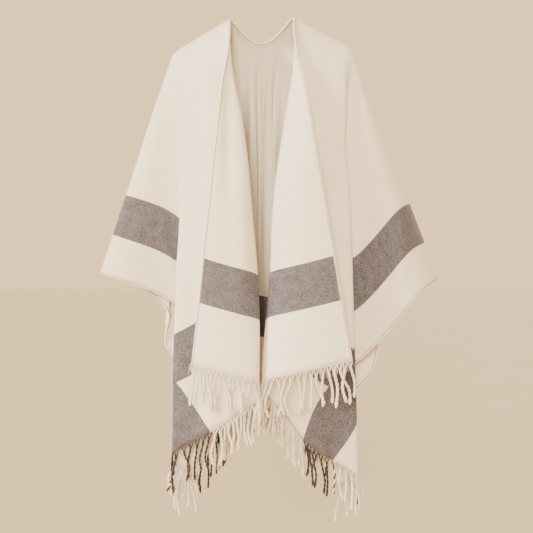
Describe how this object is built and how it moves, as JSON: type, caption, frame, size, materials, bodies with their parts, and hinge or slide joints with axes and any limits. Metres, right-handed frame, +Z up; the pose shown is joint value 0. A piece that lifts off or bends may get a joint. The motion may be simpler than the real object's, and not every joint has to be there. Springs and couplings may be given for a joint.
{
  "type": "fringed poncho",
  "caption": "Open-front fringed poncho of cream brushed wool with wide taupe bands, hanging as worn, its front edges rolled out as lapels",
  "frame": {"origin": "the middle of the shoulder line, halfway between the two neck points, where the wearer's shoulders hold the cloth", "axes": "+Z up, the open front faces -Y, +X to the right of someone who looks at the front"},
  "size_m": [0.7457, 0.3798, 1.1154],
  "materials": {
    "cloth": "brushed woven wool, cream with wide heathered taupe bands",
    "fringe": "twisted wool yarn, cream, dark brown where a band runs out to the hem"
  },
  "bodies": {
    "root": {"left_front": "cloth", "right_front": "cloth", "back": "cloth", "left_front_fringe": "fringe", "right_front_fringe": "fringe", "back_fringe": "fringe"}
  },
  "joints": []
}
